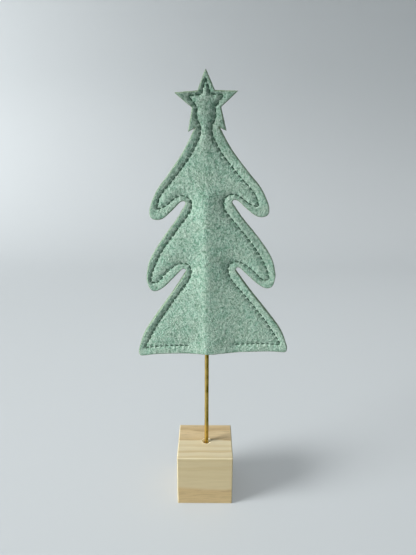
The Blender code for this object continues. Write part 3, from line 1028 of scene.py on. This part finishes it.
@dataclass
class FeltLayer:
    """One felt layer: a closed sheet, pressed in by the seam and lifted by the rod."""

    side: Side
    shape: CutShape
    finish: WoolFelt
    thickness: float = 2.0 * MM
    middle_gap: float = 0.15 * MM
    pinch_reach: float = 2.8 * MM
    pinch_share: float = 0.5
    seam_floor: float = 1.00 * MM
    rise_power: float = 2.3
    flat_height: float = 1.80 * MM
    inner_reach: float = 2.4 * MM
    border_height: float = 1.75 * MM
    border_reach: float = 1.7 * MM
    blend_reach: float = 3.0 * MM
    welt: float = 0.50 * MM
    welt_crest: float = 4.6 * MM
    welt_turn: float = 1.4
    curls: tuple[EdgeCurl, ...] = (
        EdgeCurl(32 * MM, 197 * MM, 16 * MM, 1.2 * MM),
        EdgeCurl(-32 * MM, 140 * MM, 16 * MM, -0.5 * MM),
    )
    closing: float = 0.56 * MM
    closing_reach: float = 0.72 * MM
    pucker: float = 0.2
    crease_x: float = 0.95 * MM
    crease_lean: float = math.radians(0.48)
    rod_top: float = 222.0 * MM
    settling: float = 13 * MM
    drawing: float = 38 * MM
    tent: float = 2.2 * MM
    tent_reach: float = 1.5 * MM
    free_tent: float = 0.45
    ridge: float = 0.64 * MM
    ridge_reach: Range = (3.0 * MM, 19.0 * MM)
    ridge_start: float = 4.0 * MM
    crest_round: float = 2.3 * MM
    free_round: float = 5.0 * MM
    shoulder: float = 0.50 * MM
    shoulder_depth: float = 0.6
    shoulder_turn: float = 0.98
    cut_bulge: float = 0.14 * MM
    cut_rough: float = 0.6
    cut_lump: float = 0.9 * MM
    cut_reach: float = 0.7 * MM
    waviness: float = 0.14 * MM
    wave_length: float = 26 * MM
    wave_start: float = 3.0 * MM
    lump: float = 0.05 * MM
    lump_sizes: Range = (1.6 * MM, 0.8 * MM)
    wall_rings: int = 5

    @property
    def name(self) -> str:
        """The piece's name."""
        return f"wool_felt_{self.side.name.lower()}"

    @property
    def node(self) -> str:
        """The CAD node that it stands for."""
        return f"felt_{self.side.name.lower()}"

    @property
    def seed(self) -> int:
        """The seed of its unevenness."""
        return 11 if self.side is Side.FRONT else 47

    def groove(self, top: float, reach: np.ndarray) -> np.ndarray:
        """The seam's groove: its floor plus 1 - (1 - t)^p of its depth, t its reach's share."""
        share = np.clip(self.shape.seam_distance / reach, 0, 1)
        return self.seam_floor + (top - self.seam_floor) * (1 - (1 - share) ** self.rise_power)

    def lift(self, world: np.ndarray) -> np.ndarray:
        """How far the rod lifts the felt inside the seam.

        The felt rises as a tent, by the seam's distance over the sum of the seam's and the
        crease's, with a ridge that falls off exponentially from the crease. Above the rod the tent
        sinks, and the ridge and the sharpness of the crest fade out.

        Args:
            world: X and Z of each point.

        Returns:
            The heights.
        """
        gap = self.shape.seam_distance
        above = world[:, 1] - self.rod_top
        on_rod = 1 - smooth(above / self.settling)
        drawn = smooth((self.settling - above) / self.drawing)
        bend = self.free_round + (self.crest_round - self.free_round) * drawn
        hem = self.shape.template.hem[1]
        crease = self.crease_x - (world[:, 1] - hem) * math.tan(self.crease_lean)
        away = np.sqrt((world[:, 0] - crease) ** 2 + bend**2) - bend
        tent = self.tent * gap / (gap + away + self.tent_reach)
        tent *= self.free_tent + (1 - self.free_tent) * on_rod
        fall = np.where(world[:, 0] < crease, *self.ridge_reach)
        return tent + self.ridge * np.exp(-away / fall) * smooth(gap / self.ridge_start) * drawn

    def outer_height(self, world: np.ndarray) -> np.ndarray:
        """How far the outer face stands from the middle plane.

        The groove narrows and widens by the cosine of the place along the stitch. Inside it the
        felt is lifted by the rod. Outside it the border is a welt, a sine of the distance, whose
        cut edge curls down or up in places. Bells of felt close over the needle's holes, a quarter
        round takes the edge's corner off, and sine waves and lumps are added.

        Args:
            world: X and Z of each point.

        Returns:
            The heights.
        """
        shape, gap = self.shape, self.shape.seam_distance
        phase = shape.stitch - np.round(shape.stitch)
        widen = 1 - self.pucker * np.cos(2 * math.pi * phase)
        inner = self.groove(self.flat_height, self.inner_reach * widen) + self.lift(world)
        border = self.groove(self.border_height, self.border_reach * widen)
        turn = np.minimum(gap / self.welt_crest, self.welt_turn)
        border += self.welt * np.sin(math.pi / 2 * turn)
        for curl in self.curls:
            border -= curl.drop(world) * smooth(gap / self.welt_crest)
        blend = smooth((shape.inward + self.blend_reach / 2) / self.blend_reach)
        height = inner * blend + border * (1 - blend)
        along = phase * shape.template.pitch
        height += self.closing * np.exp(-(gap**2 + along**2) / self.closing_reach**2)
        rim = np.clip(1 - shape.edge_distance / self.shoulder, 0, 1)
        corner = 1 - np.sqrt(1 - rim**2 * self.shoulder_turn)
        height -= self.shoulder * self.shoulder_depth * corner
        wave = waves(world, self.wave_length, self.seed)
        height += self.waviness * wave * smooth(gap / self.wave_start)
        for number, size in enumerate(self.lump_sizes):
            height += self.lump * lumps(world, size, self.seed + 1 + number) / (1 + number)
        return height

    def inner_height(self, outer: np.ndarray) -> np.ndarray:
        """The inner face: the outer one less the felt's thickness, part of which the seam takes."""
        full = smooth(self.shape.seam_distance / self.pinch_reach)
        share = self.pinch_share + (1 - self.pinch_share) * full
        return np.maximum(outer - self.thickness * share, self.middle_gap)

    def build(self) -> bpy.types.Object:
        """Joins the outer face, the inner face and the rounded wall of the cut edge.

        The wall's rings lie on a half ellipse from the outer edge to the inner one, which stands
        out by the bulge times the sine of the angle round it.
        """
        shape, template = self.shape, self.shape.template
        world = template.placed(shape.flat)
        outer = self.outer_height(world)
        inner = self.inner_height(outer)
        out = shape.rim_normals @ template.turn().T
        rough = 1 + self.cut_rough * lumps(world, self.cut_lump, self.seed + 3)
        angles = np.linspace(0, math.pi, self.wall_rings + 2)
        layers = []
        for angle in angles:
            share = (1 - math.cos(angle)) / 2
            spot = world + out * (self.cut_bulge * math.sin(angle) * rough)[:, None]
            height = self.side.value * (outer + (inner - outer) * share)
            layers.append(np.column_stack([spot[:, 0], height, spot[:, 1]]))
        points = template.nodded(np.vstack(layers))
        count = len(world)
        last = (len(layers) - 1) * count
        start, stop = shape.rim.T
        ring = np.column_stack([start, start + count, stop + count, stop])
        faces = [shape.triangles, shape.triangles[:, ::-1] + last]
        faces += [ring + low for low in range(0, last, count)]
        if self.side is Side.BACK:
            faces = [part[:, ::-1] for part in faces]
        used = np.unique(np.concatenate([part.ravel() for part in faces]))
        renumber = np.zeros(len(points), int)
        renumber[used] = np.arange(len(used))
        made = mesh_object(self.name, points[used], [renumber[part] for part in faces])
        near_cut = np.clip(1 - shape.edge_distance / self.cut_reach, 0, 1)
        cut = made.data.attributes.new(self.finish.cut_mark, "FLOAT", "POINT")
        cut.data.foreach_set("value", np.tile(near_cut, len(layers))[used].astype(np.float32))
        made.data.materials.append(self.finish.material())
        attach(made, "tree")
        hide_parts(self.node)
        return made


@dataclass
class SeamThread:
    """One thread of the lockstitch, three plies twisted, diving into each needle hole."""

    layer: FeltLayer
    finish: SpunThread
    radius: float = 0.30 * MM
    seat: float = 0.8
    per_stitch: int = 16
    around: int = 10
    arch: float = 0.28 * MM
    dive: float = 0.75 * MM
    dive_reach: float = 0.34 * MM
    plies: int = 3
    ply_depth: float = 0.12
    lay: float = 1.3 * MM
    hem_sink: float = 0.26 * MM
    hem_rise: float = 8 * MM

    @property
    def front(self) -> bool:
        """Whether it is the needle's thread, on the front."""
        return self.layer.side is Side.FRONT

    def path(self) -> np.ndarray:
        """The thread's middle line.

        Along a stitch the height rises by the arch times the sine of the share, and falls by the
        dive times a bell of the distance to the nearer hole. Along the hem the thread has sunk in.
        """
        template = self.layer.shape.template
        flat = template.holes(self.per_stitch)
        share = (np.arange(len(flat)) % self.per_stitch) / self.per_stitch
        to_hole = np.minimum(share, 1 - share) * template.pitch
        rise = self.arch * np.sin(math.pi * share)
        height = self.layer.seam_floor + self.radius * self.seat + rise
        height -= self.dive * np.exp(-((to_hole / self.dive_reach) ** 2))
        height -= self.hem_sink * (1 - smooth((flat[:, 1] - self.hem_rise) / self.hem_rise))
        x, z = template.placed(flat).T
        return template.nodded(np.column_stack([x, self.layer.side.value * height, z]))

    def build(self) -> bpy.types.Object:
        """Carries a round section along the path.

        The section's radius swells by the cosine of its angle times the count of plies, turned
        along the path by one turn in each lay, so that the plies wind round each other.
        """
        path = self.path()
        tangent = np.gradient(path, axis=0)
        tangent /= np.linalg.norm(tangent, axis=1)[:, None]
        up = np.array([0.0, 1.0, 0.0]) - tangent * tangent[:, 1:2]
        up /= np.linalg.norm(up, axis=1)[:, None]
        side = np.cross(tangent, up)
        along = np.concatenate([[0], np.cumsum(np.linalg.norm(np.diff(path, axis=0), axis=1))])
        angle = np.linspace(0, 2 * math.pi, self.around, endpoint=False)
        twist = angle[None, :] * self.plies + (2 * math.pi * along / self.lay)[:, None]
        reach = self.radius * (1 + self.ply_depth * np.cos(twist))
        cos, sin = np.cos(angle)[None, :, None], np.sin(angle)[None, :, None]
        spokes = cos * side[:, None, :] + sin * up[:, None, :]
        rings = path[:, None, :] + reach[:, :, None] * spokes
        count, around = len(path), self.around
        points = np.vstack([rings.reshape(-1, 3), path[:1], path[-1:]])
        index = np.arange(count * around).reshape(count, around)
        after = np.roll(index, -1, axis=1)
        tube = np.stack([index[:-1], index[1:], after[1:], after[:-1]], axis=-1).reshape(-1, 4)
        ends = [
            np.column_stack([index[0], after[0], np.full(around, count * around)]),
            np.column_stack([after[-1], index[-1], np.full(around, count * around + 1)]),
        ]
        name = "spun_thread_front" if self.front else "spun_thread_back"
        made = mesh_object(name, points, [tube, *ends])
        made.data.materials.append(self.finish.material())
        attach(made, "tree")
        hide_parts("needle_thread" if self.front else "bobbin_thread")
        return made


@dataclass
class FeltTree:
    """The sewn tree: two layers of one cut shape and the two threads that hold them together."""

    template: Template = field(default_factory=Template)
    felt: WoolFelt = field(default_factory=WoolFelt)
    thread: SpunThread = field(default_factory=SpunThread)

    def build(self) -> list[bpy.types.Object]:
        """Returns:
            The four pieces.
        """
        shape = CutShape(self.template)
        outline, _ = self.template.outline()
        made = []
        for side in Side:
            layer = FeltLayer(side, shape, self.felt)
            sheet, thread = layer.build(), SeamThread(layer, self.thread).build()
            made += [sheet, thread]
        return made


# ---------------------------------------------------------------- the rod and the block


@dataclass
class KeptSolid:
    """The rod or the block, whose CAD solid has the right shape and stays."""

    node: str
    finish: DrawnBrass | PlanedPine

    def dress(self) -> bpy.types.Object:
        """Gives the CAD solid its material."""
        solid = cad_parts[self.node]
        solid.material_slots[0].material = self.finish.material()
        return solid


# ---------------------------------------------------------------- the studio


@dataclass(frozen=True)
class Softbox:
    """A square softbox that stands in one place and looks at another."""

    name: str
    place: Point
    target: Point
    spread: float
    power: float
    size: float = 0.8

    def build(self) -> None:
        """Hangs the lamp in the scene."""
        data = bpy.data.lights.new(self.name, "AREA")
        data.size, data.spread, data.energy = self.size, self.spread, self.power
        made = bpy.data.objects.new(self.name, data)
        made.location = self.place
        made.rotation_mode = "QUATERNION"
        look = Vector(self.target) - Vector(self.place)
        made.rotation_quaternion = look.to_track_quat("-Z", "Y")
        bpy.context.scene.collection.objects.link(made)


@dataclass
class Studio:
    """A pale floor that sweeps up into a wall, two softboxes, a pale world and the camera.

    The key stands at the left and a little in front of the object, and the wash lights the wall.
    """

    paint: PaintedSweep = field(default_factory=PaintedSweep)
    key: Softbox = Softbox(
        "key", (-1.50, -0.50, 0.70), target=(0.0, 0.0, 0.08), spread=math.radians(42), power=4.6
    )
    wash: Softbox = Softbox(
        "wash", (-1.35, 0.0, 0.9), target=(-0.55, 0.9, 0.2), spread=math.radians(70), power=4.4
    )
    world_colour: str = "#DDE1E3"
    world_strength: float = 0.51
    world_seen: float = 0.46
    wall_y: float = 0.9
    sweep_radius: float = 0.35
    floor_front: float = -3.0
    floor_width: float = 6.0
    wall_height: float = 2.2
    floor_rows: int = 20
    bend_rows: int = 40
    wall_rows: int = 9
    columns: int = 13
    eye: Point = (0.0016, -0.3145, 0.2776)
    pitch: float = 0.3313
    roll: float = 0.0044
    focal_pixels: float = 500.0
    sensor: float = 36.0
    clip_start: float = 0.01
    image: tuple[int, int] = (416, 555)

    def build(self) -> None:
        """Builds the sweep, the lights, the world and the camera."""
        self.sweep()
        self.key.build()
        self.wash.build()
        self.surroundings()
        self.camera()

    def sweep(self) -> bpy.types.Object:
        """The floor and wall: a line, a quarter circle and a line in Y and Z, carried along X."""
        bend, radius = self.wall_y - self.sweep_radius, self.sweep_radius
        angle = np.linspace(0, math.pi / 2, self.bend_rows)
        floor = np.linspace(self.floor_front, bend, self.floor_rows)[:-1]
        wall = np.linspace(radius, self.wall_height, self.wall_rows)[1:]
        y = np.concatenate([floor, bend + radius * np.sin(angle), np.full(len(wall), self.wall_y)])
        z = np.concatenate([np.zeros(len(floor)), radius * (1 - np.cos(angle)), wall])
        across = np.linspace(-self.floor_width / 2, self.floor_width / 2, self.columns)
        x, row = np.meshgrid(across, np.arange(len(y)))
        points = np.column_stack([x.ravel(), y[row.ravel()], z[row.ravel()]])
        made = mesh_object("studio_sweep", points, [cells(np.arange(x.size).reshape(x.shape))])
        made.data.materials.append(self.paint.material())
        return made

    def surroundings(self) -> None:
        """The world, one pale colour, which the camera and the metal see as bright as the wall."""
        world = bpy.data.worlds.new("studio")
        world.use_nodes = True
        add = partial(add_node, world.node_tree)
        strength = [seen_itself(add), 0.0, 1.0, self.world_strength, self.world_seen]
        ground = world.node_tree.nodes["Background"]
        fill(ground, {"Color": self.world_colour, "Strength": add("MapRange", strength)})
        bpy.context.scene.world = world

    def camera(self) -> None:
        """The camera: its lens from the focal length in pixels of the picture's long side."""
        data = bpy.data.cameras.new("camera")
        data.sensor_width = self.sensor
        data.lens = self.focal_pixels / max(self.image) * self.sensor
        data.clip_start = self.clip_start
        made = bpy.data.objects.new("camera", data)
        pitch = Matrix.Rotation(math.pi / 2 - self.pitch, 4, "X")
        roll = Matrix.Rotation(self.roll, 4, "Z")
        made.matrix_world = Matrix.Translation(self.eye) @ pitch @ roll
        bpy.context.scene.collection.objects.link(made)
        bpy.context.scene.camera = made


def main() -> None:
    """Builds the object and the studio, and reports each piece."""
    logging.basicConfig(level=logging.INFO, format="%(name)s: %(message)s")
    bpy.context.scene.view_settings.view_transform = "Standard"
    solids = [KeptSolid("base_block", PlanedPine()), KeptSolid("brass_rod", DrawnBrass())]
    pieces = [*(solid.dress() for solid in solids), *FeltTree().build()]
    for piece in pieces:
        log.info("%s: %d faces", piece.name, len(piece.data.polygons))
    Studio().build()


if __name__ == "__main__":
    main()
